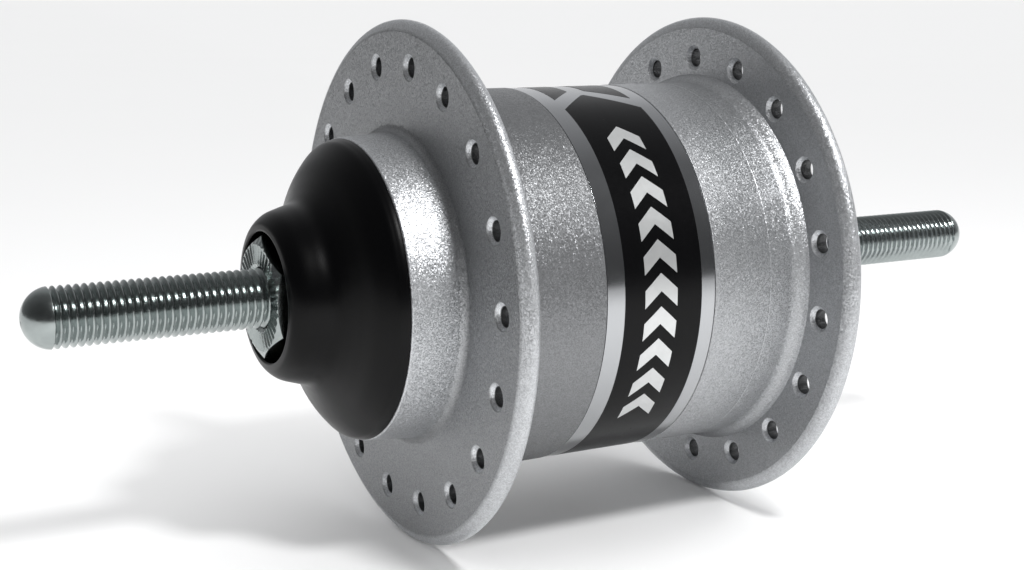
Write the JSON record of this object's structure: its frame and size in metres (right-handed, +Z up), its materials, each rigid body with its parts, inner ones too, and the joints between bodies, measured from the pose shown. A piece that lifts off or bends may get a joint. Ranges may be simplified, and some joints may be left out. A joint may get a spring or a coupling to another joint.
{
  "type": "bicycle hub gear",
  "caption": "Internally geared rear bicycle hub with spoke flanges, a wide barrel, a threaded axle and a planetary gear train inside.",
  "frame": {"origin": "on the axle's centre line, midway between its two ends, which is also the middle of the hub", "axes": "+Y along the axle towards the left (non-drive) end, +X forward, +Z up; a positive turn about +Y rolls the wheel forward"},
  "size_m": [0.0904, 0.1935, 0.0904],
  "materials": {
    "shell_paint": "silver metallic paint over a fine sand texture",
    "label_foil": "smooth silver foil printed with black panels",
    "black_plastic": "satin moulded, finely textured",
    "zinc_steel": "bright bluish zinc plate",
    "hard_steel": "ground hardened steel",
    "bright_steel": "bright drawn steel"
  },
  "bodies": {
    "axle_set": {"axle": "zinc_steel", "left_locknut": "zinc_steel", "right_locknut": "zinc_steel", "left_washer": "zinc_steel", "right_washer": "zinc_steel", "left_cone": "hard_steel", "right_cone": "hard_steel", "sun_gear": "hard_steel", "clutch_spring": "bright_steel"},
    "shell": {"hub_shell": "shell_paint", "label_band": "label_foil", "left_dust_cover": "black_plastic", "left_ball_cup": "hard_steel", "low_ratchet_ring": "hard_steel", "right_ball_ring": "hard_steel"},
    "ring_gear": {"ring_gear": "hard_steel", "high_pawl_pin_1": "bright_steel", "high_pawl_pin_2": "bright_steel", "high_pawl_spring_1": "bright_steel", "high_pawl_spring_2": "bright_steel"},
    "high_pawl_1": {"high_pawl_1": "hard_steel"},
    "high_pawl_2": {"high_pawl_2": "hard_steel"},
    "planet_carrier": {"planet_carrier": "bright_steel", "planet_pin_1": "bright_steel", "planet_pin_2": "bright_steel", "planet_pin_3": "bright_steel", "planet_pin_4": "bright_steel", "low_pawl_pin_1": "bright_steel", "low_pawl_pin_2": "bright_steel", "low_pawl_spring_1": "bright_steel", "low_pawl_spring_2": "bright_steel"},
    "low_pawl_1": {"low_pawl_1": "hard_steel"},
    "low_pawl_2": {"low_pawl_2": "hard_steel"},
    "planet_1": {"planet_gear_1": "hard_steel"},
    "planet_2": {"planet_gear_2": "hard_steel"},
    "planet_3": {"planet_gear_3": "hard_steel"},
    "planet_4": {"planet_gear_4": "hard_steel"},
    "driver": {"driver": "hard_steel", "sprocket_snap_ring": "bright_steel", "driver_dust_cap": "black_plastic"},
    "clutch": {"clutch": "hard_steel"},
    "selector_rod": {"selector_rod": "bright_steel", "axle_key": "hard_steel"},
    "left_bearing": {"left_bearing": "bright_steel"},
    "right_bearing": {"right_bearing": "bright_steel"},
    "ball_ring_bearing": {"ball_ring_bearing": "bright_steel"}
  },
  "joints": [
    {"name": "shell_spin", "type": "hinge", "parent": "axle_set", "child": "shell", "pos_m": [0, 0, 0], "axis": [0, 1, 0], "continuous": true},
    {"name": "driver_spin", "type": "hinge", "parent": "axle_set", "child": "driver", "pos_m": [0, 0, 0], "axis": [0, 1, 0], "continuous": true},
    {"name": "ring_gear_spin", "type": "hinge", "parent": "axle_set", "child": "ring_gear", "pos_m": [0, 0, 0], "axis": [0, 1, 0], "continuous": true},
    {"name": "carrier_spin", "type": "hinge", "parent": "axle_set", "child": "planet_carrier", "pos_m": [0, 0, 0], "axis": [0, 1, 0], "continuous": true},
    {"name": "left_bearing_spin", "type": "hinge", "parent": "axle_set", "child": "left_bearing", "pos_m": [0, 0, 0], "axis": [0, 1, 0], "continuous": true},
    {"name": "right_bearing_spin", "type": "hinge", "parent": "axle_set", "child": "right_bearing", "pos_m": [0, 0, 0], "axis": [0, 1, 0], "continuous": true},
    {"name": "ball_ring_bearing_spin", "type": "hinge", "parent": "axle_set", "child": "ball_ring_bearing", "pos_m": [0, 0, 0], "axis": [0, 1, 0], "continuous": true},
    {"name": "planet_1_spin", "type": "hinge", "parent": "planet_carrier", "child": "planet_1", "pos_m": [0.015, 0.012, 0], "axis": [0, 1, 0], "continuous": true},
    {"name": "planet_2_spin", "type": "hinge", "parent": "planet_carrier", "child": "planet_2", "pos_m": [0, 0.012, -0.015], "axis": [0, 1, 0], "continuous": true},
    {"name": "planet_3_spin", "type": "hinge", "parent": "planet_carrier", "child": "planet_3", "pos_m": [-0.015, 0.012, 0], "axis": [0, 1, 0], "continuous": true},
    {"name": "planet_4_spin", "type": "hinge", "parent": "planet_carrier", "child": "planet_4", "pos_m": [0, 0.012, 0.015], "axis": [0, 1, 0], "continuous": true},
    {"name": "high_pawl_1_swing", "type": "hinge", "parent": "ring_gear", "child": "high_pawl_1", "pos_m": [0.0232, -0.0225, 0], "axis": [0, -1, 0], "range_deg": [-13, 0], "stiffness_Nm_per_rad": 0.01, "springref_deg": 17.19},
    {"name": "low_pawl_1_swing", "type": "hinge", "parent": "planet_carrier", "child": "low_pawl_1", "pos_m": [0.0126, 0.029, 0], "axis": [0, -1, 0], "range_deg": [0, 17], "stiffness_Nm_per_rad": 0.01, "springref_deg": -17.19},
    {"name": "high_pawl_2_swing", "type": "hinge", "parent": "ring_gear", "child": "high_pawl_2", "pos_m": [-0.0232, -0.0225, 0], "axis": [0, -1, 0], "range_deg": [-13, 0], "stiffness_Nm_per_rad": 0.01, "springref_deg": 17.19},
    {"name": "low_pawl_2_swing", "type": "hinge", "parent": "planet_carrier", "child": "low_pawl_2", "pos_m": [-0.0126, 0.029, 0], "axis": [0, -1, 0], "range_deg": [0, 17], "stiffness_Nm_per_rad": 0.01, "springref_deg": -17.19},
    {"name": "selector_rod_slide", "type": "slide", "parent": "axle_set", "child": "selector_rod", "axis": [0, 1, 0], "range_m": [-0.0035, 0.0035], "stiffness_N_per_m": 200},
    {"name": "clutch_slide", "type": "slide", "parent": "driver", "child": "clutch", "axis": [0, 1, 0], "range_m": [-0.0035, 0.0035]}
  ],
  "couplings": [
    {"joint": "driver_spin", "follows": "shell_spin", "ratio": 1},
    {"joint": "ring_gear_spin", "follows": "shell_spin", "ratio": 1},
    {"joint": "carrier_spin", "follows": "shell_spin", "ratio": 0.75},
    {"joint": "left_bearing_spin", "follows": "shell_spin", "ratio": 0.596},
    {"joint": "right_bearing_spin", "follows": "shell_spin", "ratio": 0.588},
    {"joint": "ball_ring_bearing_spin", "follows": "shell_spin", "ratio": 1},
    {"joint": "planet_1_spin", "follows": "shell_spin", "ratio": 0.75},
    {"joint": "planet_2_spin", "follows": "shell_spin", "ratio": 0.75},
    {"joint": "planet_3_spin", "follows": "shell_spin", "ratio": 0.75},
    {"joint": "planet_4_spin", "follows": "shell_spin", "ratio": 0.75},
    {"joint": "clutch_slide", "follows": "selector_rod_slide", "ratio": 1}
  ]
}
